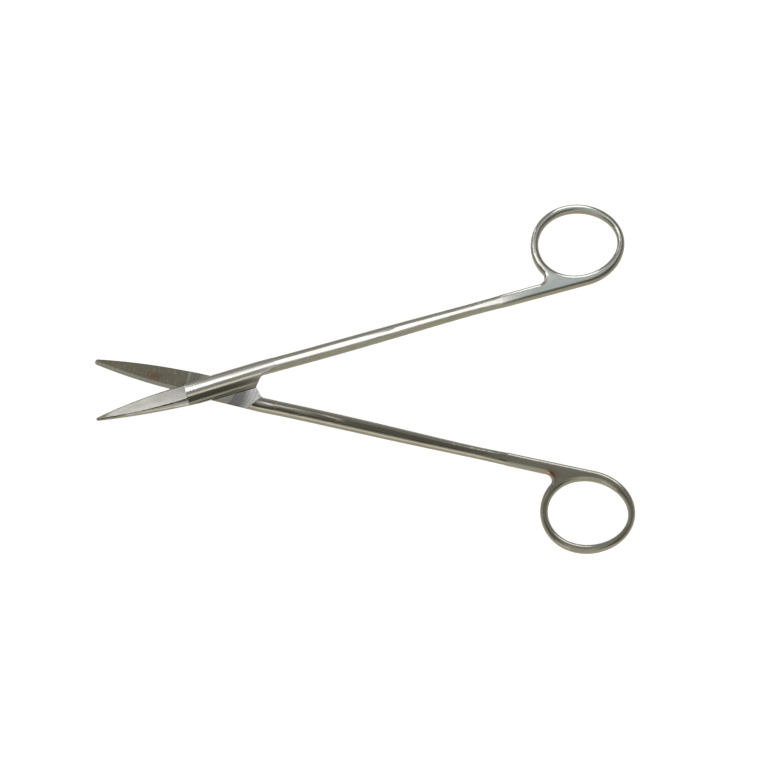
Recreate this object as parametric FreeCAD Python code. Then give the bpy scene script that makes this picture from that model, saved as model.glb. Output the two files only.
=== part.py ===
import FreeCAD, Part
import math
import os

from FreeCAD import Matrix, Rotation, Vector

# Dissecting scissors, millimetres. Two halves cross at a pivot screw and lie flat.
# Each half is drawn closed, in its own frame: the pivot axis at the origin, +X towards the
# finger ring, +Y lateral (away from the other half's ring), the shear plane at z = 0 and the
# outer face at +z. The lower half is the same shape turned over about X.

# Pose and stack
rest_half_angle = 13.75
plate_thickness = 2.2
head_proud = 0.15
top_margin = 1.0

# Pivot screw
head_diameter = 4.6
head_seat_depth = 1.1
bearing_diameter = 3.2
thread_diameter = 2.6
running_clearance = 0.04
slot_width = 0.8
slot_depth = 0.45
head_edge_round = 0.2

# Joint plate: crowned outside, flat inside
plate_start_x = -10.0
plate_start_lateral = 4.0
plate_medial_at_heel = 3.15
plate_over_spine = 0.06
crown_radius = 10.0
crown_crest_at_pivot = 1.6
heel_angle = 39.0
heel_distance = 11.57
heel_hollow_radius = 3.0
heel_edge_round = 0.4
stop_clearance = 0.22

# Milled pocket that takes the other half's heel
pocket_depth = 0.35
pocket_corner_radius = 0.6
pocket_start_distance = 1.2
floor_middle_share = 0.55
floor_middle_depth = 0.26
pad_radius = 6.3

# Shank
root_x = 20.0
root_straight = 5.0
root_centre = 2.5
root_width = 4.6
root_corner = 1.75
shank_length = 76.0
waist_before_neck = 10.0
waist_width = 3.8
waist_corner = 1.5
waist_crown_radius = 8.0
taper_power = 1.3
shank_stations = 6
seam_inset = 0.04
neck_centre = 3.42
neck_width = 3.94

# Finger ring, an oval with a blunter far end
ring_from_neck = 28.95
ring_centre_y = 15.42
ring_tilt = -8.0
ring_hole_length = 25.8
ring_hole_height = 21.2
ring_egg = 0.35
ring_far_wire = 2.15
ring_near_wire = 2.5
ring_lateral_wire = 2.65
ring_medial_wire = 3.3
ring_thickness = 3.56
ring_edge_round = 1.0
crotch_lateral_rise = 0.3
crotch_radius = 2.3
oval_points = 24
search_points = 400
neck_curve_reach = 9.65

# Blade, common to both halves
blade_root_x = -6.5
blade_middle_x = -25.0
edge_height_root = 3.68
edge_height_middle = 2.78
edge_height_tip = 0.55
spine_height_root = 3.5
ridge_height_root = -0.8
ridge_height_middle = -1.15
ridge_height_tip = 0.3
ridge_thickness_root = 1.82
ridge_thickness_tip = 0.8
spine_thickness_root = 0.8
spine_thickness_tip = 0.4
edge_bevel_width = 0.4
edge_bevel_height = 0.35
spine_bulge = 0.25
facet_bulge = 0.03
blade_stations = 6
lapped_band = 1.3
blade_relief = 0.1
relief_start_radius = 8.0

# Tips: the upper half is pointed, the lower half is blunt
upper_tip = dict(x=-40.0, spine_middle=-2.35, spine_tip=-0.5, nose_radius=0.55)
lower_tip = dict(x=-40.2, spine_middle=-2.85, spine_tip=-1.1, nose_radius=1.0)

nearby = 0.01
mid_plane = head_proud + plate_thickness
neck_x = root_x + shank_length
root_half = root_width / 2
X_AXIS = Vector(1, 0, 0)
Z_AXIS = Vector(0, 0, 1)


def line(start, end):
    return Part.LineSegment(Vector(start), Vector(end)).toShape()


def arc(start, middle, end):
    return Part.Arc(Vector(start), Vector(middle), Vector(end)).toShape()


def smooth_step(s):
    return s * s * (3 - 2 * s)


def blend(start, end, s):
    return start + (end - start) * s


def circle_height(points, x):
    """Height at x of the circle through three points, on the side that holds them."""
    circle = Part.Arc(*[Vector(px, py, 0) for px, py in points]).toShape().Curve
    centre, radius = circle.Center, circle.Radius
    side = 1 if points[1][1] > centre.y else -1
    return centre.y + side * math.sqrt(radius ** 2 - (x - centre.x) ** 2)


def prism(edges, z_from, z_to):
    face = Part.Face(Part.Wire(edges))
    face.translate(Vector(0, 0, z_from))
    return face.extrude(Vector(0, 0, z_to - z_from))


def bore(radius, z_from, z_to):
    return Part.makeCylinder(radius, z_to - z_from, Vector(0, 0, z_from))


def crest_height(x):
    """Line of the crown's crest: over the pivot plate it runs down to the shank's middle."""
    return blend(crown_crest_at_pivot, root_centre, x / root_x)


def crown_solid():
    """Round bar whose top is the crowned outer surface of the joint."""
    start_x, end_x = plate_start_x - top_margin, root_x + top_margin
    centre_z = plate_thickness - crown_radius
    start = Vector(start_x, crest_height(start_x), centre_z)
    direction = Vector(end_x, crest_height(end_x), centre_z) - start
    return Part.makeCylinder(crown_radius, direction.Length, start, direction)


def point_on_normal(angle, distance, y):
    """Point at height y on the line whose normal leaves the pivot at the angle."""
    turn = math.radians(angle)
    return Vector((distance - y * math.sin(turn)) / math.cos(turn), y, 0)


def joint_plate(crown, spine_points):
    """Outer half of the joint: crowned, rounded at the lateral side, ending at the heel."""
    lateral, medial = root_centre + root_half, root_centre - root_half
    heel_corner = point_on_normal(-heel_angle, heel_distance, -plate_medial_at_heel)
    meeting = point_on_normal(-heel_angle, heel_distance, medial)
    along_heel = (meeting - heel_corner).normalize()
    reach = heel_hollow_radius * math.tan(math.radians(90 - heel_angle) / 2)
    hollow_start = meeting - along_heel * reach
    hollow_end = meeting + X_AXIS * reach
    hollow_centre = hollow_end - Vector(0, heel_hollow_radius, 0)
    outwards = ((hollow_start + hollow_end) * 0.5 - hollow_centre).normalize()
    hollow_middle = hollow_centre + outwards * heel_hollow_radius
    taper_start = Vector(root_x - root_straight, lateral, 0)
    step_top = Vector(plate_start_x, plate_start_lateral, 0)
    step_foot = Vector(plate_start_x,
                       circle_height(spine_points, plate_start_x) - plate_over_spine, 0)
    spine_end = Vector(blade_root_x, -spine_height_root - plate_over_spine, 0)
    end_lateral, end_medial = Vector(root_x, lateral, 0), Vector(root_x, medial, 0)
    outline = [line(end_lateral, taper_start), line(taper_start, step_top),
               line(step_top, step_foot), line(step_foot, spine_end),
               line(spine_end, heel_corner), line(heel_corner, hollow_start),
               arc(hollow_start, hollow_middle, hollow_end), line(hollow_end, end_medial),
               line(end_medial, end_lateral)]
    plate = prism(outline, 0, plate_thickness + top_margin).common(crown)
    lateral_edges = [edge for edge in plate.Edges
                     if edge.BoundBox.YMin > plate_start_lateral - nearby
                     and edge.BoundBox.ZMin > nearby
                     and edge.BoundBox.XLength > root_straight / 2]
    plate = plate.makeFillet(root_corner, lateral_edges)
    shank_edge = [edge for edge in plate.Edges
                  if edge.BoundBox.XMin > hollow_end.x - nearby
                  and edge.BoundBox.ZMin > nearby and edge.BoundBox.YMax < medial + nearby
                  and edge.BoundBox.XLength > nearby]
    return plate.makeFillet(heel_edge_round, root_corner, shank_edge)


def shank_root(crown):
    """Inner half of the shank's root, from the stop wall to the first shank station."""
    lateral, medial = root_centre + root_half, root_centre - root_half
    wall = heel_distance + stop_clearance - top_margin
    wall_medial = point_on_normal(heel_angle, wall, medial)
    taper_start = Vector(root_x - root_straight, lateral, 0)
    step_top = Vector(plate_start_x, plate_start_lateral, 0)
    slope = (taper_start.y - step_top.y) / (taper_start.x - step_top.x)
    turn = math.radians(heel_angle)
    wall_lateral_x = ((wall - (taper_start.y - slope * taper_start.x) * math.sin(turn))
                      / (math.cos(turn) + slope * math.sin(turn)))
    wall_lateral = Vector(wall_lateral_x,
                          taper_start.y + slope * (wall_lateral_x - taper_start.x), 0)
    end_lateral, end_medial = Vector(root_x, lateral, 0), Vector(root_x, medial, 0)
    outline = [line(end_lateral, taper_start), line(taper_start, wall_lateral),
               line(wall_lateral, wall_medial), line(wall_medial, end_medial),
               line(end_medial, end_lateral)]
    root = prism(outline, 0, plate_thickness + top_margin).common(crown)
    long_edges = [edge for edge in root.Edges
                  if edge.BoundBox.ZMin > nearby and edge.BoundBox.XLength > nearby
                  and (edge.BoundBox.YMax < medial + nearby
                       or edge.BoundBox.YMin > wall_lateral.y - nearby)]
    return root.makeFillet(root_corner, long_edges).mirror(Vector(), Z_AXIS)


def shank_section(x, centre, width, height, corner, crown):
    """Rounded section: crowned top and foot, straight sides, round corners."""
    half_width, half_height = width / 2, height / 2
    if crown:
        drop = (crown - corner) - math.sqrt((crown - corner) ** 2 - (half_width - corner) ** 2)
        corner_z = half_height - corner - drop
        touch = (half_width - corner) * crown / (crown - corner)
        touch_z = half_height - crown + math.sqrt(crown ** 2 - touch ** 2)
    else:
        corner_z, touch, touch_z = half_height - corner, half_width - corner, half_height

    def at(y, z):
        return Vector(x, centre + y, z)

    lean = math.atan2(touch - (half_width - corner), touch_z - corner_z)
    middle_angle = (lean + math.pi / 2) / 2
    middle_y = half_width - corner + corner * math.sin(middle_angle)
    middle_z = corner_z + corner * math.cos(middle_angle)

    def cap(side):
        if crown:
            return arc(at(-side * touch, side * touch_z), at(0, side * half_height),
                       at(side * touch, side * touch_z))
        return line(at(-side * touch, side * touch_z), at(side * touch, side * touch_z))

    def corner_arc(side_y, side_z, from_cap):
        cap_end = at(side_y * touch, side_z * touch_z)
        side_end = at(side_y * half_width, side_z * corner_z)
        middle = at(side_y * middle_y, side_z * middle_z)
        return arc(cap_end, middle, side_end) if from_cap else arc(side_end, middle, cap_end)

    return Part.Wire([cap(1), corner_arc(1, 1, True),
                      line(at(half_width, corner_z), at(half_width, -corner_z)),
                      corner_arc(1, -1, False), cap(-1), corner_arc(-1, -1, True),
                      line(at(-half_width, -corner_z), at(-half_width, corner_z)),
                      corner_arc(-1, 1, False)])


def shank():
    """Tapered shank from the joint's root to the ring's neck."""
    waist_x = neck_x - waist_before_neck
    sections = []
    for station in range(shank_stations):
        s = station / (shank_stations - 1)
        x = blend(root_x, waist_x, s)
        thinning = smooth_step(s ** 2)
        along = (x - root_x) / shank_length
        centre = blend(root_centre, neck_centre, smooth_step(along))
        crown = blend(crown_radius, waist_crown_radius, s)
        inset = 2 * seam_inset * (1 - s)
        sections.append(shank_section(x, centre, blend(root_width, waist_width, thinning) - inset,
                                      blend(2 * plate_thickness, ring_thickness,
                                            s ** taper_power) - inset,
                                      blend(root_corner, waist_corner, s), crown))
    sections.append(shank_section(neck_x, neck_centre, neck_width - 2 * seam_inset,
                                  ring_thickness - 2 * seam_inset, ring_edge_round, None))
    return Part.makeLoft(sections, True, False)


def oval(length, height, centre_x, centre_y):
    """Closed egg-shaped curve, tilted, with its blunter end away from the pivot."""
    tilt = math.radians(ring_tilt)
    points = []
    for index in range(oval_points):
        t = 2 * math.pi * index / oval_points
        along = length / 2 * math.cos(t) + ring_egg * math.cos(2 * t)
        across = height / 2 * math.sin(t)
        points.append(Vector(centre_x + along * math.cos(tilt) - across * math.sin(tilt),
                             centre_y + along * math.sin(tilt) + across * math.cos(tilt), 0))
    curve = Part.BSplineCurve()
    curve.interpolate(points, PeriodicFlag=True)
    return curve.toShape()


def finger_ring():
    """Oval ring with its neck: a flat forging with rounded edges."""
    half = ring_thickness / 2
    centre_x = neck_x + ring_from_neck
    outer_x = centre_x + (ring_far_wire - ring_near_wire) / 2
    outer_y = ring_centre_y + (ring_lateral_wire - ring_medial_wire) / 2
    outer_edge = oval(ring_hole_length + ring_far_wire + ring_near_wire,
                      ring_hole_height + ring_lateral_wire + ring_medial_wire,
                      outer_x, outer_y)
    hole_edge = oval(ring_hole_length, ring_hole_height, centre_x, ring_centre_y)
    lowest = min(outer_edge.discretize(search_points), key=lambda point: point.y)
    neck_lateral = Vector(neck_x, neck_centre + neck_width / 2, 0)
    neck_medial = Vector(neck_x, neck_centre - neck_width / 2, 0)
    straight = X_AXIS * neck_curve_reach
    medial_curve = Part.BezierCurve()
    medial_curve.setPoles([neck_medial, neck_medial + straight, lowest - straight, lowest])
    inside = Vector(outer_x, outer_y, 0)
    crotch_end = Vector(outer_x, neck_lateral.y + crotch_lateral_rise, 0)
    neck = prism([line(neck_lateral, crotch_end), line(crotch_end, inside),
                  line(inside, lowest), medial_curve.toShape(),
                  line(neck_medial, neck_lateral)], -half, half)
    body = neck.fuse(prism([outer_edge], -half, half)).removeSplitter()
    crotch = [edge for edge in body.Edges
              if edge.BoundBox.ZLength > ring_thickness - nearby
              and neck_x + nearby < edge.BoundBox.XMin < centre_x
              and neck_lateral.y - nearby < edge.BoundBox.YMin < ring_centre_y]
    body = body.makeFillet(crotch_radius, crotch)
    body = body.cut(prism([hole_edge], -ring_thickness, ring_thickness))
    flat_edges = [edge for edge in body.Edges
                  if edge.BoundBox.ZLength < nearby and edge.BoundBox.XMax > neck_x + nearby]
    return body.makeFillet(ring_edge_round, flat_edges)


def blade(tip):
    """Ground blade: lapped flat inside, slightly convex facet, ridge and spine outside."""
    edge_points = [(blade_root_x, edge_height_root), (blade_middle_x, edge_height_middle),
                   (tip["x"], edge_height_tip)]
    spine_points = spine_line(tip)
    ridge_points = [(blade_root_x, ridge_height_root), (blade_middle_x, ridge_height_middle),
                    (tip["x"], ridge_height_tip)]
    far_x = tip["x"] - tip["nose_radius"] / 2
    sections = []
    for station in range(blade_stations):
        s = station / (blade_stations - 1)
        x = blend(blade_root_x, far_x, s)
        edge_y = circle_height(edge_points, x)
        ridge_y = circle_height(ridge_points, x)
        spine_y = circle_height(spine_points, x)
        ridge_z = blend(ridge_thickness_root, ridge_thickness_tip, s)
        spine_z = blend(spine_thickness_root, spine_thickness_tip, s)
        bevel = blend(edge_bevel_width, edge_bevel_width / 2, s)
        bevel_z = blend(edge_bevel_height, edge_bevel_height / 2, s)
        bulge = spine_bulge * (ridge_z - spine_z)
        edge_foot = Vector(x, edge_y, 0)
        bevel_top = Vector(x, edge_y - bevel, bevel_z)
        ridge = Vector(x, ridge_y, ridge_z)
        rise = facet_bulge * (edge_y - bevel - ridge_y)
        facet = (bevel_top + ridge) * 0.5 + Vector(0, 0, rise)
        flank = Vector(x, (ridge_y + spine_y) / 2, (ridge_z + spine_z) / 2 + bulge)
        spine_top, spine_foot = Vector(x, spine_y, spine_z), Vector(x, spine_y, 0)
        sections.append(Part.Wire([line(edge_foot, bevel_top), arc(bevel_top, facet, ridge),
                                   arc(ridge, flank, spine_top), line(spine_top, spine_foot),
                                   line(spine_foot, edge_foot)]))
    body = Part.makeLoft(sections, True, False)
    nose_x = tip["x"] + tip["nose_radius"]
    nose_y = (circle_height(edge_points, nose_x) + circle_height(spine_points, nose_x)) / 2
    reach = 3 * tip["nose_radius"]
    end_block = Part.makeBox(reach, 2 * reach, 2 * plate_thickness,
                             Vector(nose_x - reach, nose_y - reach, -plate_thickness))
    nose = Part.makeCylinder(tip["nose_radius"], 2 * plate_thickness,
                             Vector(nose_x, nose_y, -plate_thickness))
    return body.cut(end_block.cut(nose))


def spine_line(tip):
    return [(blade_root_x, -spine_height_root), (blade_middle_x, tip["spine_middle"]),
            (tip["x"], tip["spine_tip"])]


def blade_hollow(tip):
    """Shallow relief of the blade's inner face behind the lapped band."""
    band = [(blade_root_x, edge_height_root - lapped_band),
            (blade_middle_x, edge_height_middle - lapped_band),
            (tip["x"], edge_height_tip - lapped_band)]
    far_x = tip["x"] - top_margin
    below = -2 * spine_height_root
    start = Vector(0, circle_height(band, 0), 0)
    middle = Vector(blade_middle_x, circle_height(band, blade_middle_x), 0)
    end = Vector(far_x, circle_height(band, far_x), 0)
    low_end, low_start = Vector(far_x, below, 0), Vector(0, below, 0)
    region = prism([arc(start, middle, end), line(end, low_end), line(low_end, low_start),
                    line(low_start, start)], -top_margin, blade_relief)
    joint_pad = bore(relief_start_radius, -2 * top_margin, 2 * top_margin)
    return region.cut(joint_pad)


def heel_pocket():
    """Milled pocket with a hollow floor that ends in the stop wall."""
    wall = heel_distance + stop_clearance
    floor_end = wall - pocket_corner_radius
    turn = Rotation(Z_AXIS, heel_angle)

    def at(distance, z):
        return turn.multVec(Vector(distance, 0, z))

    corner_z = pocket_depth - pocket_corner_radius
    diagonal = pocket_corner_radius * math.sqrt(0.5)
    floor_middle = blend(pocket_start_distance, floor_end, floor_middle_share)
    open_z = -plate_thickness - top_margin
    profile = [arc(at(pocket_start_distance, 0), at(floor_middle, floor_middle_depth),
                   at(floor_end, pocket_depth)),
               arc(at(floor_end, pocket_depth), at(floor_end + diagonal, corner_z + diagonal),
                   at(wall, corner_z)),
               line(at(wall, corner_z), at(wall, open_z)),
               line(at(wall, open_z), at(pocket_start_distance, open_z)),
               line(at(pocket_start_distance, open_z), at(pocket_start_distance, 0))]
    along = turn.multVec(Vector(0, 1, 0))
    face = Part.Face(Part.Wire(profile))
    reach = 2 * heel_distance
    face.translate(along * -reach)
    pad = bore(pad_radius, -plate_thickness, plate_thickness)
    return face.extrude(along * (2 * reach)).cut(pad)


def scissor_half(tip):
    """One forged half: blade, joint plate, shank and finger ring."""
    crown = crown_solid()
    joint = joint_plate(crown, spine_line(tip)).fuse(shank_root(crown))
    body = joint.fuse([blade(tip), shank(), finger_ring()]).removeSplitter()
    return body.cut([heel_pocket(), blade_hollow(tip)]).removeSplitter()


def turned_over(shape):
    flip = Matrix()
    flip.rotateX(math.pi)
    return shape.transformed(flip)


def placed(shape, angle):
    """Turns a half about the pivot to its rest angle and lifts it to the shear plane."""
    result = shape.copy()
    result.rotate(Vector(), Z_AXIS, angle)
    result.translate(Vector(0, 0, mid_plane))
    return result


def upper_half():
    body = scissor_half(upper_tip)
    body = body.cut(bore(thread_diameter / 2, -plate_thickness, 2 * plate_thickness))
    return placed(body, rest_half_angle)


def lower_half():
    body = scissor_half(lower_tip)
    seat = plate_thickness - head_seat_depth
    body = body.cut([bore(bearing_diameter / 2 + running_clearance, -plate_thickness,
                          2 * plate_thickness),
                     bore(head_diameter / 2 + running_clearance, seat, 2 * plate_thickness)])
    return placed(turned_over(body), -rest_half_angle)


def pivot_screw():
    """Slotted head below, bearing through the lower half, thread end ground flush above."""
    seat_z = head_proud + head_seat_depth
    head = bore(head_diameter / 2, 0, seat_z)
    rim = [edge for edge in head.Edges if edge.BoundBox.ZMax < nearby and edge.Closed]
    head = head.makeFillet(head_edge_round, rim)
    slot = Part.makeBox(2 * head_diameter, slot_width, slot_depth,
                        Vector(-head_diameter, -slot_width / 2, 0))
    bearing = bore(bearing_diameter / 2, seat_z, mid_plane)
    thread = bore(thread_diameter / 2, 0, plate_thickness + top_margin).common(crown_solid())
    return head.cut(slot).fuse([bearing, placed(thread, rest_half_angle)]).removeSplitter()


os.makedirs("parts", exist_ok=True)
for name, shape in (("upper_half", upper_half()), ("lower_half", lower_half()),
                    ("pivot_screw", pivot_screw())):
    shape.exportStep("parts/" + name + ".step")
    box = shape.BoundBox
    print(name, "valid", shape.isValid(), "solids", len(shape.Solids), "faces", len(shape.Faces),
          "volume", round(shape.Volume, 1),
          "box", [round(v, 2) for v in (box.XMin, box.YMin, box.ZMin, box.XMax, box.YMax, box.ZMax)])
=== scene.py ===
import math

import bpy
from bpy.props import FloatProperty, FloatVectorProperty, PointerProperty
from mathutils import Matrix, Vector

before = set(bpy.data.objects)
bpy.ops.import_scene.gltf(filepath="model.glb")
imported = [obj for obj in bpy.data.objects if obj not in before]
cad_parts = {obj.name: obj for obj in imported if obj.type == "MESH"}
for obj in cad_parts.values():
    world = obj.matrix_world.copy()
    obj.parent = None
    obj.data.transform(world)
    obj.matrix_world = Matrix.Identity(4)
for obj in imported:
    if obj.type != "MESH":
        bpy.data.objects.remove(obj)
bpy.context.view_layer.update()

bl_info = {
    "name": "Dissecting Scissors",
    "version": (1, 0, 0),
    "blender": (4, 5, 0),
    "location": "View3D > Sidebar > Scissors",
    "description": "Finishes the steel of a pair of dissecting scissors and lights them",
    "category": "Object",
}

MM = 0.001

# Places on a half, in its own closed frame: along from the pivot, lateral, outward from the shear
# plane. A pair gives where a mask begins and where it is full.
OPEN_HALF_ANGLE = math.radians(13.75)
SHEAR_PLANE = 2.35 * MM
BORDER = 0.1 * MM
BLADE_START = -9.9 * MM
JOINT_END = 16.0 * MM
PAD_RADIUS = 6.3 * MM
# Radii where the painted highlight near the pocket wall begins and is full
PAINTED_HIGHLIGHT_RADII = (9.0 * MM, 11.5 * MM)
INNER_FACE_DEPTH = (0.36 * MM, 0.40 * MM)
INNER_FACE_FACING = (0.80, 0.90)
FACET_LEANING = (0.0, 0.06)
SCREW_END_RADIUS = (3.0 * MM, 3.2 * MM)
SCREW_END_HEIGHT = (1.0 * MM, 1.1 * MM)
RING_START = 90.0 * MM
RING_FULL = 104.0 * MM
RING_LATERAL = 15.0 * MM
MILL_CENTRE = (1.5 * MM, -2.0 * MM)
LAPPED_BAND = 1.3 * MM

# Points of the cutting edge: along, lateral
CUTTING_EDGE = ((-6.5 * MM, 3.68 * MM), (-25.0 * MM, 2.78 * MM), (-40.0 * MM, 0.55 * MM))

# Brown marks on the lower half: along, lateral, radius
TARNISH = ((-20.9 * MM, 0.3 * MM, 3.6 * MM), (111.3 * MM, 5.2 * MM, 3.4 * MM))

# Rounding of the edges, and depth of the scratches
EDGE_ROUNDING = 0.12 * MM
RING_ROUNDING = 1.1 * MM
SCRATCH_DEPTH = 0.02 * MM
SCRATCH_BUMP = 0.07

# Grain size of the noises along, across and through a half, and how much fine grain they have
CLOUD_SIZE = (7.0 * MM, 3.0 * MM, 3.0 * MM)
SPECK_SIZE = (0.5 * MM, 0.5 * MM, 0.5 * MM)
FLECK_SIZE = (0.3 * MM, 0.9 * MM, 0.3 * MM)
NOISE_ROUGHNESS = 0.6

# Tints of the painted highlight near the pocket wall, dull clouds, tarnish, specks and scratches
PAINTED_HIGHLIGHT_TINT = (0.95, 0.94, 1.0)
DULL = (0.62, 0.56, 0.46)
BROWN = (1.0, 0.66, 0.52)
SPECK = (0.25, 0.22, 0.18)
SCRATCH = (0.25, 0.24, 0.22)

# Most that each of them covers, and the value of its noise or bend where it begins and is full
DULL_SHARE, DULL_RANGE = 0.30, (0.45, 0.75)
BROWN_SHARE, BROWN_RANGE = 0.75, (0.25, 0.50)
FLECK_SHARE, FLECK_RANGE = 0.60, (0.57, 0.66)
WEAR_SHARE, WEAR_RANGE = 0.70, (0.01, 0.10)
SPECK_RANGE = (0.62, 0.75)
SCRATCH_START = 0.35


class Wire:
    """A shader socket that adds a Math node for each operation in an expression."""

    def __init__(self, shader, socket):
        self.shader = shader
        self.socket = socket

    def math(self, operation, other=None):
        values = {0: self}
        if other is not None:
            values[1] = other
        return self.shader.node("ShaderNodeMath", {"operation": operation}, values)

    def __add__(self, other):
        return self.math("ADD", other)

    __radd__ = __add__

    def __sub__(self, other):
        return self.math("SUBTRACT", other)

    def __rsub__(self, other):
        return self.shader.node("ShaderNodeMath", {"operation": "SUBTRACT"}, {0: other, 1: self})

    def __neg__(self):
        return self * -1.0

    def __mul__(self, other):
        return self.math("MULTIPLY", other)

    __rmul__ = __mul__

    def __truediv__(self, other):
        return self.math("DIVIDE", other)

    def __abs__(self):
        return self.math("ABSOLUTE")

    def clamped(self):
        return self.math("MAXIMUM", 0.0).math("MINIMUM", 1.0)

    def step(self, start, end):
        """0 below start, 1 above end, straight between."""
        return ((self - start) / (end - start)).clamped()


class Shader:
    """A node tree that is filled by calls."""

    def __init__(self, tree):
        self.tree = tree
        tree.nodes.clear()

    def node(self, kind, settings=None, values=None, output=0):
        """Adds a node, applies its settings, then sets or links its sockets."""
        node = self.tree.nodes.new(kind)
        for name, setting in (settings or {}).items():
            if name == "stops":
                ramp = node.color_ramp
                while len(ramp.elements) < len(setting):
                    ramp.elements.new(0.5)
                for element, (place, colour) in zip(ramp.elements, setting):
                    element.position = place
                    element.color = (*colour, 1.0)
            else:
                setattr(node, name, setting)
        for key, value in (values or {}).items():
            if isinstance(value, Wire):
                self.tree.links.new(value.socket, node.inputs[key])
            else:
                node.inputs[key].default_value = value
        return Wire(self, node.outputs[output]) if len(node.outputs) else node

    def blend_colours(self, factor, first, second, mode="MIX"):
        return self.node("ShaderNodeMix", {"data_type": "RGBA", "blend_type": mode},
                         {0: factor, 6: first, 7: second}, output=2)

    def blend_vectors(self, factor, first, second):
        return self.node("ShaderNodeMix", {"data_type": "VECTOR"}, {0: factor, 4: first, 5: second},
                         output=1)

    def mix_values(self, factor, first, second):
        return self.node("ShaderNodeMix", {"data_type": "FLOAT"}, {0: factor, 2: first, 3: second})

    def join(self, x, y, z):
        return self.node("ShaderNodeCombineXYZ", None, {0: x, 1: y, 2: z})

    def blend_shaders(self, factor, first, second):
        return self.node("ShaderNodeMixShader", None, {0: factor, 1: first, 2: second})

    def split(self, vector):
        separate = self.node("ShaderNodeSeparateXYZ", None, {0: vector})
        outputs = separate.socket.node.outputs
        return [Wire(self, outputs[axis]) for axis in range(3)]


def new_material(name):
    material = bpy.data.materials.new(name)
    material.use_nodes = True
    return material, Shader(material.node_tree)


def rgba(colour):
    return (*colour, 1.0)


class ScissorsFinish(bpy.types.PropertyGroup):
    """Colours and finishes of the steel."""
    steel_colour: FloatVectorProperty(
        name="Steel", description="Colour of the polished stainless steel", size=3,
        subtype="COLOR", min=0.0, max=1.0, default=(0.63, 0.62, 0.59))
    worn_colour: FloatVectorProperty(
        name="Worn edges", description="Colour of the edges that handling has brightened", size=3,
        subtype="COLOR", min=0.0, max=1.0, default=(0.78, 0.77, 0.74))
    ground_colour: FloatVectorProperty(
        name="Ground blade", description="Colour of the satin ground blade", size=3,
        subtype="COLOR", min=0.0, max=1.0, default=(0.52, 0.51, 0.48))
    lapped_colour: FloatVectorProperty(
        name="Blade inside", description="Colour of the dark satin inner face of the blades",
        size=3, subtype="COLOR", min=0.0, max=1.0, default=(0.42, 0.40, 0.36))
    pad_colour: FloatVectorProperty(
        name="Milled pad", description="Colour of the milled pad round the pivot", size=3,
        subtype="COLOR", min=0.0, max=1.0, default=(0.55, 0.55, 0.55))
    pocket_colour: FloatVectorProperty(
        name="Heel pocket", description="Colour of the bright pocket that takes the heel",
        size=3, subtype="COLOR", min=0.0, max=1.0, default=(0.42, 0.42, 0.45))
    polished_roughness: FloatProperty(
        name="Polish", description="Roughness of the polished shanks and rings",
        subtype="FACTOR", min=0.02, max=1.0, default=0.11)
    ground_roughness: FloatProperty(
        name="Grinding", description="Roughness of the ground blades",
        subtype="FACTOR", min=0.05, max=1.0, default=0.30)
    milled_roughness: FloatProperty(
        name="Milling", description="Roughness of the milled pad and pocket",
        subtype="FACTOR", min=0.05, max=1.0, default=0.15)
    scratch_width: FloatProperty(
        name="Scratch width", description="Spacing of the fine polishing lines",
        subtype="DISTANCE", min=0.00002, max=0.002, default=0.00016)


class ScissorsStudio(bpy.types.PropertyGroup):
    """Camera and lights."""
    pixel_size: FloatProperty(
        name="Pixel size", description="Width that one pixel covers on the scissors",
        subtype="DISTANCE", default=0.32229 * MM)
    camera_elevation: FloatProperty(
        name="Elevation", description="Height of the camera above the table",
        subtype="ANGLE", default=math.radians(75.8))
    camera_roll: FloatProperty(
        name="Roll", description="Turn of the scissors in the picture",
        subtype="ANGLE", default=math.radians(1.59))
    camera_distance: FloatProperty(
        name="Distance", description="Distance from the camera to the scissors",
        subtype="DISTANCE", default=1.8)
    lamp_distance: FloatProperty(
        name="Lamp distance", description="Distance of the soft lamps from the scissors",
        subtype="DISTANCE", min=0.05, default=0.25)
    pocket_lamp_distance: FloatProperty(
        name="Pocket lamp distance", description="Distance of the lamps over the milled pocket",
        subtype="DISTANCE", min=0.02, default=0.08)
    lamp_strength: FloatProperty(
        name="Lamp strength", description="Factor on the radiance of every soft lamp",
        min=0.0, default=1.0)


# Size of the picture, and where the pivot lies in it, in pixels
PICTURE_SIZE = 758
PIVOT_PIXEL = (216.71, 387.82)

# The table and its tones: lit, seen by the camera, and mirrored by the steel, where a dim warm tone
# is painted shade
FLOOR_SIZE = 6.0
FLOOR_DROP = 0.1 * MM
FLOOR_COLOUR = (0.8, 0.8, 0.8)
FLOOR_SEEN = (0.92, 0.92, 0.94)
# Painted shade: the table's tone in the steel's reflections, dimmed for its shade beside the steel
FLOOR_MIRRORED_SHADE = (0.30, 0.29, 0.22)

# The room: tones by their place from the front (0) to the back (1), and the tone at its two
# sides with how far sideways it begins and is full
ROOM_TONES = (
    (0.00, (0.46, 0.44, 0.35)),
    (0.13, (0.45, 0.43, 0.33)),
    (0.16, (0.09, 0.085, 0.06)),
    (0.30, (0.06, 0.056, 0.04)),
    (0.60, (0.11, 0.105, 0.085)),
    (0.80, (0.14, 0.14, 0.12)),
    (0.92, (0.22, 0.22, 0.21)),
    (1.00, (0.28, 0.28, 0.27)),
)
SIDE_TONE = (0.33, 0.32, 0.27)
SIDE_START = (0.5, 0.95)

NEUTRAL = (1.0, 1.0, 1.0)
COOL = (0.83, 0.95, 1.0)
WARM = (1.0, 0.96, 0.80)
VIOLET = (0.95, 0.94, 1.0)

# Lamps that stand close, so that their ends stay sharp on the small pad and pocket
CLOSE_LAMPS = ("pad_fill", "pocket_key")

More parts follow.
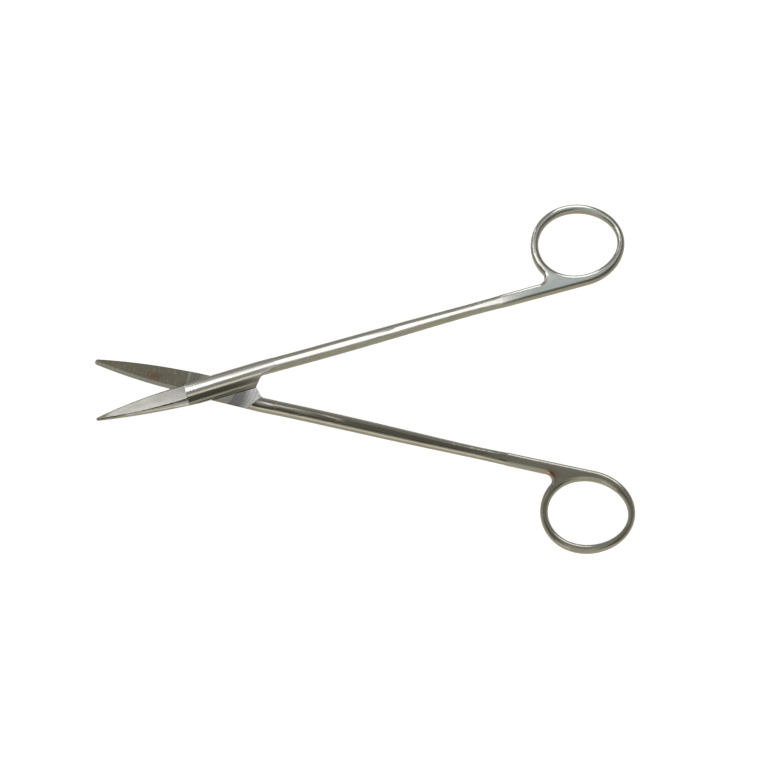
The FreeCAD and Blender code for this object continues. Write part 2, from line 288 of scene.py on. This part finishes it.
# Soft lamps that one half mirrors: name, side, stretch of the half in mm from the pivot, angles
# in degrees from straight up towards the back, radiance and colour
SOFTBOXES = (
    ("upper_key", 1.0, (-30.0, 103.0), (10.0, 18.5), 1.75, NEUTRAL),
    ("upper_back", 1.0, (-24.0, 103.0), (18.5, 60.0), 0.24, NEUTRAL),
    ("joint_top", 1.0, (-28.0, 15.0), (-3.0, 10.0), 0.20, NEUTRAL),
    ("joint_line", 1.0, (-28.0, 15.0), (-10.5, -3.0), 0.85, WARM),
    ("joint_foot", 1.0, (-28.0, 15.0), (-37.0, -31.5), 0.34, WARM),
    ("shank_top", 1.0, (15.0, 103.0), (-18.0, 10.0), 0.62, NEUTRAL),
    ("shank_front", 1.0, (15.0, 103.0), (-47.0, -18.0), 0.34, WARM),
    ("blade_ridge", 1.0, (-75.0, -24.0), (8.0, 35.5), 3.5, NEUTRAL),
    ("blade_facet", 1.0, (-75.0, -24.0), (35.5, 62.0), 0.27, COOL),
    ("blade_tip", 1.0, (-75.0, -43.0), (40.0, 76.0), 1.9, NEUTRAL),
    ("blade_flank", 1.0, (-75.0, -24.0), (-60.0, -17.0), 0.45, NEUTRAL),
    ("ring_flat", 1.0, (103.0, 220.0), (4.0, 12.0), 0.48, COOL),
    ("ring_key", 1.0, (103.0, 220.0), (12.0, 15.5), 0.80, COOL),
    ("ring_back", 1.0, (103.0, 220.0), (15.5, 38.0), 0.45, COOL),
    ("ring_rim", 1.0, (103.0, 220.0), (38.0, 62.0), 2.20, NEUTRAL),
    ("ring_side", 1.0, (103.0, 220.0), (62.0, 88.0), 0.90, COOL),
    ("ring_front", 1.0, (103.0, 220.0), (-47.0, -20.0), 0.10, WARM),
    ("inner_fill", -1.0, (-90.0, -8.0), (-6.0, 34.0), 0.28, WARM),
    ("pad_fill", -1.0, (-6.0, 17.0), (6.0, 18.0), 0.22, NEUTRAL),
    ("pocket_key", -1.0, (15.0, 17.5), (9.0, 14.5), 1.20, VIOLET),
    ("lower_line", -1.0, (15.0, 42.0), (13.5, 19.0), 0.85, WARM),
    ("lower_back", -1.0, (13.5, 98.0), (20.0, 42.0), 0.12, WARM),
    ("lower_middle", -1.0, (13.5, 98.0), (-47.0, -23.0), 0.15, WARM),
    ("lower_front", -1.0, (-12.0, 98.0), (-90.0, -47.0), 0.33, WARM),
    ("lower_ring_flat", -1.0, (98.0, 220.0), (2.0, 22.0), 0.10, WARM),
    ("lower_ring_back", -1.0, (98.0, 220.0), (22.0, 75.0), 0.22, WARM),
    ("lower_ring_line", -1.0, (98.0, 220.0), (44.0, 60.0), 1.60, NEUTRAL),
    ("lower_ring_front", -1.0, (98.0, 220.0), (-47.0, 0.0), 0.34, WARM),
)


def half_coordinates(shader, side):
    """Along, lateral and outward coordinates of a half, with the scissors closed."""
    place = shader.node("ShaderNodeTexCoord", output=3)
    turned = shader.node("ShaderNodeMapping", {"vector_type": "POINT"},
                         {"Vector": place, "Rotation": (0.0, 0.0, -side * OPEN_HALF_ANGLE)})
    along, across, height = shader.split(turned)
    return turned, along, across * side, (height - SHEAR_PLANE) * side


def stretched_noise(shader, vector, size, detail=4.0):
    """Noise with its own grain size along each axis."""
    scaled = shader.node("ShaderNodeMapping", {"vector_type": "POINT"},
                         {"Vector": vector, "Scale": tuple(1.0 / s for s in size)})
    return shader.node("ShaderNodeTexNoise", {"noise_dimensions": "3D"},
                       {"Vector": scaled, "Scale": 1.0, "Detail": detail,
                        "Roughness": NOISE_ROUGHNESS})


class HalfPlaces:
    """Coordinates of a half, masks from 0 to 1 of the places that have their own finish, and the
    mask of a painted highlight near the pocket wall.
    """

    def __init__(self, shader, side):
        self.vector, along, lateral, outward = half_coordinates(shader, side)
        self.along, self.lateral = along, lateral
        radius = (along * along + lateral * lateral).math("SQRT")
        facing, leaning = normal_parts(shader, side)
        inner = (1.0 - abs(outward).step(*INNER_FACE_DEPTH)) * (-facing).step(*INNER_FACE_FACING)
        blade = 1.0 - along.step(BLADE_START - BORDER, BLADE_START)
        self.milled = inner * (1.0 - blade) * (1.0 - along.step(JOINT_END, JOINT_END + BORDER))
        self.pocket = self.milled * radius.step(PAD_RADIUS - BORDER / 2, PAD_RADIUS)
        # Painted highlight: a bright violet-white band near the pocket wall that stands in for the
        # fillet's highlight
        self.painted_pocket_highlight = self.pocket * radius.step(*PAINTED_HIGHLIGHT_RADII)
        self.inside = inner * blade
        self.facet = blade * (1.0 - self.inside) * leaning.step(*FACET_LEANING)
        self.band = self.inside * lapped_band(along, lateral)
        self.ground = self.facet.math("MAXIMUM", self.inside)
        self.ring = along.step(RING_START, RING_FULL)
        self.screw_end = (1.0 - radius.step(*SCREW_END_RADIUS)) * outward.step(*SCREW_END_HEIGHT)


class SteelGrain:
    """Noises of the steel: scratches and milling lines, dull clouds, dirt specks, bright flecks."""

    def __init__(self, shader, places, width):
        vector = places.vector
        long_lines = stretched_noise(shader, vector, (60 * width, width, width))
        cross_lines = stretched_noise(shader, vector, (width, 30 * width, 4 * width))
        arcs = milled_arcs(shader, places.along, places.lateral, width)
        lines = shader.mix_values(places.ground, long_lines, cross_lines)
        self.lines = shader.mix_values(places.milled, lines, arcs)
        self.clouds = stretched_noise(shader, vector, CLOUD_SIZE, detail=3.0)
        self.specks = stretched_noise(shader, vector, SPECK_SIZE, detail=2.0)
        self.flecks = stretched_noise(shader, vector, FLECK_SIZE, detail=2.0)


def half_material(name, side, finish):
    """Polished shank, joint and ring; ground blade; milled pad and pocket with a painted highlight
    near its wall; bright worn edges.
    """
    material, shader = new_material(name)
    places = HalfPlaces(shader, side)
    grain = SteelGrain(shader, places, finish.scratch_width)
    normal, wear = rounded_edges(shader, places)
    steel = clean_steel(shader, places, finish)
    steel = soiled_steel(shader, places, grain, side, steel, finish)
    colour = shader.blend_colours(WEAR_SHARE * wear, steel, rgba(finish.worn_colour))
    bump = shader.node("ShaderNodeBump", None,
                       {"Strength": SCRATCH_BUMP, "Distance": SCRATCH_DEPTH,
                        "Height": grain.lines * (1.0 - 0.8 * places.facet), "Normal": normal})
    surface = shader.node("ShaderNodeBsdfPrincipled", None,
                          {"Base Color": colour, "Metallic": 1.0,
                           "Roughness": steel_roughness(places, grain, finish), "Normal": bump})
    shader.node("ShaderNodeOutputMaterial", None, {"Surface": surface})
    return material


def rounded_edges(shader, places):
    """Normal that rounds the edges, more so on the ring, and a mask of the edges that wear."""
    rounded = shader.node("ShaderNodeBevel", {"samples": 6}, {"Radius": EDGE_ROUNDING})
    softened = shader.node("ShaderNodeBevel", {"samples": 10}, {"Radius": RING_ROUNDING})
    own_normal = shader.node("ShaderNodeNewGeometry", output=1)
    bend = shader.node("ShaderNodeVectorMath", {"operation": "DOT_PRODUCT"},
                       {0: rounded, 1: own_normal}, output=1)
    wear = (1.0 - bend).step(*WEAR_RANGE) * (1.0 - places.screw_end)
    normal = shader.blend_vectors(places.ring, rounded, softened)
    return shader.blend_vectors(places.screw_end, normal, own_normal), wear


def clean_steel(shader, places, finish):
    """Colour of each place as it was finished, and a painted highlight near the pocket wall."""
    steel = shader.blend_colours(places.facet, rgba(finish.steel_colour),
                                 rgba(finish.ground_colour))
    for place, colour in ((places.inside, finish.lapped_colour),
                          (places.band, finish.worn_colour),
                          (places.milled, finish.pad_colour),
                          (places.pocket, finish.pocket_colour),
                          # Painted highlight near the pocket wall
                          (places.painted_pocket_highlight, PAINTED_HIGHLIGHT_TINT)):
        steel = shader.blend_colours(place, steel, rgba(colour))
    return steel


def soiled_steel(shader, places, grain, side, steel, finish):
    """The steel with dull clouds, tarnish on the lower half, specks, flecks and scratches."""
    steel = shader.blend_colours(DULL_SHARE * grain.clouds.step(*DULL_RANGE), steel, rgba(DULL),
                                 "MULTIPLY")
    if side < 0:
        stain = tarnish(places.along, places.lateral) * grain.clouds.step(*BROWN_RANGE)
        steel = shader.blend_colours(BROWN_SHARE * stain, steel, rgba(BROWN), "MULTIPLY")
    dirt = grain.specks.step(*SPECK_RANGE) * (0.10 + 0.25 * places.ground)
    steel = shader.blend_colours(dirt, steel, rgba(SPECK))
    bright = grain.flecks.step(*FLECK_RANGE) * (FLECK_SHARE * places.inside)
    steel = shader.blend_colours(bright, steel, rgba(finish.worn_colour))
    dark = (grain.lines - SCRATCH_START).clamped() * (0.15 + 0.30 * (places.ground + places.milled))
    return shader.blend_colours(dark, steel, rgba(SCRATCH))


def steel_roughness(places, grain, finish):
    """Roughness of the polish, the grinding and the milling, varied by scratches and clouds."""
    polish = finish.polished_roughness
    return (polish + places.ground * (finish.ground_roughness - polish)
            + places.milled * (finish.milled_roughness - polish)
            + (0.05 + 0.12 * places.ground) * (grain.lines - 0.5)
            + 0.05 * (grain.clouds - 0.5))


def normal_parts(shader, side):
    """Outward and lateral parts of the surface normal of a half."""
    normal = shader.node("ShaderNodeTexCoord", output=1)
    turned = shader.node("ShaderNodeMapping", {"vector_type": "NORMAL"},
                         {"Vector": normal, "Rotation": (0.0, 0.0, -side * OPEN_HALF_ANGLE)})
    parts = shader.split(turned)
    return parts[2] * side, parts[1] * side


def tarnish(along, lateral):
    """1 in the middle of the brown tarnish marks, fading to 0 at their rims."""
    marks = 0.0
    for centre_along, centre_lateral, size in TARNISH:
        across, up = along - centre_along, (lateral - centre_lateral) * 2.0
        marks = marks + (1.0 - (across * across + up * up).math("SQRT") / size).clamped()
    return marks.step(0.0, 0.6)


def circle_through(points):
    """Centre and radius of the circle through three points."""
    (x1, y1), (x2, y2), (x3, y3) = points
    double = 2 * (x1 * (y2 - y3) + x2 * (y3 - y1) + x3 * (y1 - y2))
    square1, square2, square3 = x1 * x1 + y1 * y1, x2 * x2 + y2 * y2, x3 * x3 + y3 * y3
    x = (square1 * (y2 - y3) + square2 * (y3 - y1) + square3 * (y1 - y2)) / double
    y = (square1 * (x3 - x2) + square2 * (x1 - x3) + square3 * (x2 - x1)) / double
    return x, y, math.hypot(x1 - x, y1 - y)


def lapped_band(along, lateral):
    """1 on the bright band along the cutting edge, which is an arc like the edge."""
    x, y, radius = circle_through([(px, py - LAPPED_BAND) for px, py in CUTTING_EDGE])
    across = along - x
    line = (radius * radius - across * across).math("SQRT") + y
    return (lateral - line).step(-0.05 * MM, 0.05 * MM)


def milled_arcs(shader, along, lateral, width):
    """Rings of the end mill round a centre beside the pad."""
    centre_x, centre_y = MILL_CENTRE
    across, up = along - centre_x, lateral - centre_y
    radius = (across * across + up * up).math("SQRT")
    wave = (radius * (2 * math.pi / (7 * width))).math("SINE") * 0.5 + 0.5
    grain = stretched_noise(shader, shader.join(radius, across * 0.1, up * 0.1),
                            (width, 4 * width, 4 * width))
    return 0.5 * wave + 0.5 * grain


def dress(node, material):
    """Gives a CAD node its material."""
    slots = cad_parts[node].data.materials
    slots.clear()
    slots.append(material)


class SCISSORS_OT_halves(bpy.types.Operator):
    """Finish the two forged halves"""
    bl_idname = "scissors.halves"
    bl_label = "Scissor Halves"

    def execute(self, context):
        finish = context.scene.scissors_finish
        dress("upper_half", half_material("upper_half_steel", 1.0, finish))
        dress("lower_half", half_material("lower_half_steel", -1.0, finish))
        return {"FINISHED"}


class SCISSORS_OT_screw(bpy.types.Operator):
    """Finish the pivot screw"""
    bl_idname = "scissors.screw"
    bl_label = "Pivot Screw"

    def execute(self, context):
        finish = context.scene.scissors_finish
        dress("pivot_screw", half_material("pivot_screw_steel", 1.0, finish))
        return {"FINISHED"}


def receivers(name, nodes):
    """A collection of the CAD nodes that a lamp is allowed to light."""
    group = bpy.data.collections.new(name)
    for node in nodes:
        group.objects.link(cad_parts[node])
    return group


def softbox(name, side, along, angles, radiance, colour, studio, group):
    """A soft lamp where one half mirrors it to the camera."""
    turn = side * OPEN_HALF_ANGLE
    axis = Vector((math.cos(turn), math.sin(turn), 0.0))
    back = Vector((-math.sin(turn), math.cos(turn), 0.0))
    lean = math.radians((angles[0] + angles[1]) / 2)
    direction = back * math.sin(lean) + Vector((0.0, 0.0, math.cos(lean)))
    elevation, roll = studio.camera_elevation, studio.camera_roll
    view = Vector((math.sin(roll), math.cos(roll), 0.0)) * math.cos(elevation)
    distance = studio.pocket_lamp_distance if name in CLOSE_LAMPS else studio.lamp_distance
    ring = RING_LATERAL if along[0] * MM > RING_START else 0.0
    middle = (axis * ((along[0] + along[1]) / 2 * MM + view.dot(axis) * distance)
              + back * side * ring)
    data = bpy.data.lights.new(name, "AREA")
    data.shape = "RECTANGLE"
    data.size = (along[1] - along[0]) * MM
    data.size_y = 2 * distance * math.tan(math.radians((angles[1] - angles[0]) / 2))
    data.energy = radiance * studio.lamp_strength * math.pi * data.size * data.size_y
    data.color = colour
    lamp = bpy.data.objects.new(name, data)
    bpy.context.scene.collection.objects.link(lamp)
    lamp.matrix_world = (Matrix.Translation(middle + direction * distance)
                         @ Matrix((axis, direction.cross(axis), direction)).transposed().to_4x4())
    lamp.visible_camera = False
    lamp.light_linking.receiver_collection = group


def rays(shader, *kinds):
    """1 for rays of any of these kinds."""
    path = shader.node("ShaderNodeLightPath").socket.node.outputs
    mask = Wire(shader, path[kinds[0]])
    for kind in kinds[1:]:
        mask = mask.math("MAXIMUM", Wire(shader, path[kind]))
    return mask


class SCISSORS_OT_studio(bpy.types.Operator):
    """Set up the table, the soft lights and the camera"""
    bl_idname = "scissors.studio"
    bl_label = "Studio"

    def execute(self, context):
        studio = context.scene.scissors_studio
        self.make_floor()
        self.make_room()
        self.make_lamps(studio)
        self.make_camera(studio)
        context.scene.view_settings.view_transform = "Standard"
        return {"FINISHED"}

    def make_floor(self):
        bpy.ops.object.select_all(action="DESELECT")
        bpy.ops.mesh.primitive_plane_add(size=FLOOR_SIZE, location=(0.0, 0.0, -FLOOR_DROP))
        floor = bpy.context.object
        floor.name = "floor"
        bpy.ops.object.transform_apply(location=True, rotation=True, scale=True)
        material, shader = new_material("floor_white")
        camera = rays(shader, "Is Camera Ray")
        direct = rays(shader, "Is Camera Ray", "Is Glossy Ray", "Is Transmission Ray")
        lit = shader.node("ShaderNodeBsdfDiffuse", None, {"Color": rgba(FLOOR_COLOUR)})
        # The steel mirrors the table in a dim warm tone, painted shade for the table beside the
        # steel
        tone = shader.blend_colours(camera, rgba(FLOOR_MIRRORED_SHADE), rgba(FLOOR_SEEN))
        glow = shader.node("ShaderNodeEmission", None, {"Color": tone, "Strength": direct})
        shader.node("ShaderNodeOutputMaterial", None,
                    {"Surface": shader.node("ShaderNodeAddShader", None, {0: lit, 1: glow})})
        floor.data.materials.append(material)

    def make_room(self):
        """White behind the object; around it a dim ceiling between a tan front and a grey back."""
        world = bpy.data.worlds.new("room")
        world.use_nodes = True
        bpy.context.scene.world = world
        shader = Shader(world.node_tree)
        camera = rays(shader, "Is Camera Ray")
        direction = shader.node("ShaderNodeTexCoord", output=0)
        x, y, _ = shader.split(direction)
        tone = shader.node("ShaderNodeValToRGB", {"stops": ROOM_TONES}, {0: y * 0.5 + 0.5})
        sides = abs(x).step(*SIDE_START)
        tone = shader.blend_colours(sides, tone, rgba(SIDE_TONE))
        room = shader.node("ShaderNodeBackground", None, {"Color": tone, "Strength": 1.0})
        white = shader.node("ShaderNodeBackground", None,
                            {"Color": rgba(NEUTRAL), "Strength": 1.0})
        mixed = shader.blend_shaders(camera, room, white)
        shader.node("ShaderNodeOutputWorld", None, {"Surface": mixed})

    def make_lamps(self, studio):
        upper = receivers("upper_receivers", ("upper_half", "pivot_screw"))
        lower = receivers("lower_receivers", ("lower_half",))
        for name, side, along, angles, radiance, colour in SOFTBOXES:
            softbox(name, side, along, angles, radiance, colour, studio,
                    upper if side > 0 else lower)

    def make_camera(self, studio):
        pixel = studio.pixel_size
        centre = PICTURE_SIZE / 2
        right = (centre - PIVOT_PIXEL[0]) * pixel
        up = (PIVOT_PIXEL[1] - centre) * pixel / math.sin(studio.camera_elevation)
        turn = Matrix.Rotation(-studio.camera_roll, 4, "Z")
        target = turn @ Vector((right, up, 0.0)) + Vector((0.0, 0.0, SHEAR_PLANE))
        aim = turn @ Matrix.Rotation(math.pi / 2 - studio.camera_elevation, 4, "X")
        data = bpy.data.cameras.new("camera")
        camera = bpy.data.objects.new("camera", data)
        bpy.context.scene.collection.objects.link(camera)
        view = aim.to_3x3() @ Vector((0.0, 0.0, -1.0))
        camera.matrix_world = Matrix.Translation(target - view * studio.camera_distance) @ aim
        data.sensor_width = 36.0
        data.lens = data.sensor_width * studio.camera_distance / (PICTURE_SIZE * pixel)
        data.clip_end = 20.0
        bpy.context.scene.camera = camera


class SCISSORS_PT_panel(bpy.types.Panel):
    """Sizes, colours and operators of the scissors"""
    bl_label = "Dissecting Scissors"
    bl_idname = "SCISSORS_PT_panel"
    bl_space_type = "VIEW_3D"
    bl_region_type = "UI"
    bl_category = "Scissors"

    def draw(self, context):
        for group in (context.scene.scissors_finish, context.scene.scissors_studio):
            for name in group.__annotations__:
                self.layout.prop(group, name)
        for operator in PIECES:
            self.layout.operator(operator.bl_idname)


PIECES = (SCISSORS_OT_halves, SCISSORS_OT_screw, SCISSORS_OT_studio)
CLASSES = (ScissorsFinish, ScissorsStudio, *PIECES, SCISSORS_PT_panel)


def register():
    for cls in CLASSES:
        bpy.utils.register_class(cls)
    bpy.types.Scene.scissors_finish = PointerProperty(type=ScissorsFinish)
    bpy.types.Scene.scissors_studio = PointerProperty(type=ScissorsStudio)


def unregister():
    del bpy.types.Scene.scissors_studio
    del bpy.types.Scene.scissors_finish
    for cls in reversed(CLASSES):
        bpy.utils.unregister_class(cls)


def main():
    for name in ("Cube", "Light", "Camera"):
        if name in bpy.data.objects:
            bpy.data.objects.remove(bpy.data.objects[name])
    register()
    bpy.ops.scissors.halves()
    bpy.ops.scissors.screw()
    bpy.ops.scissors.studio()


if __name__ == "__main__":
    main()
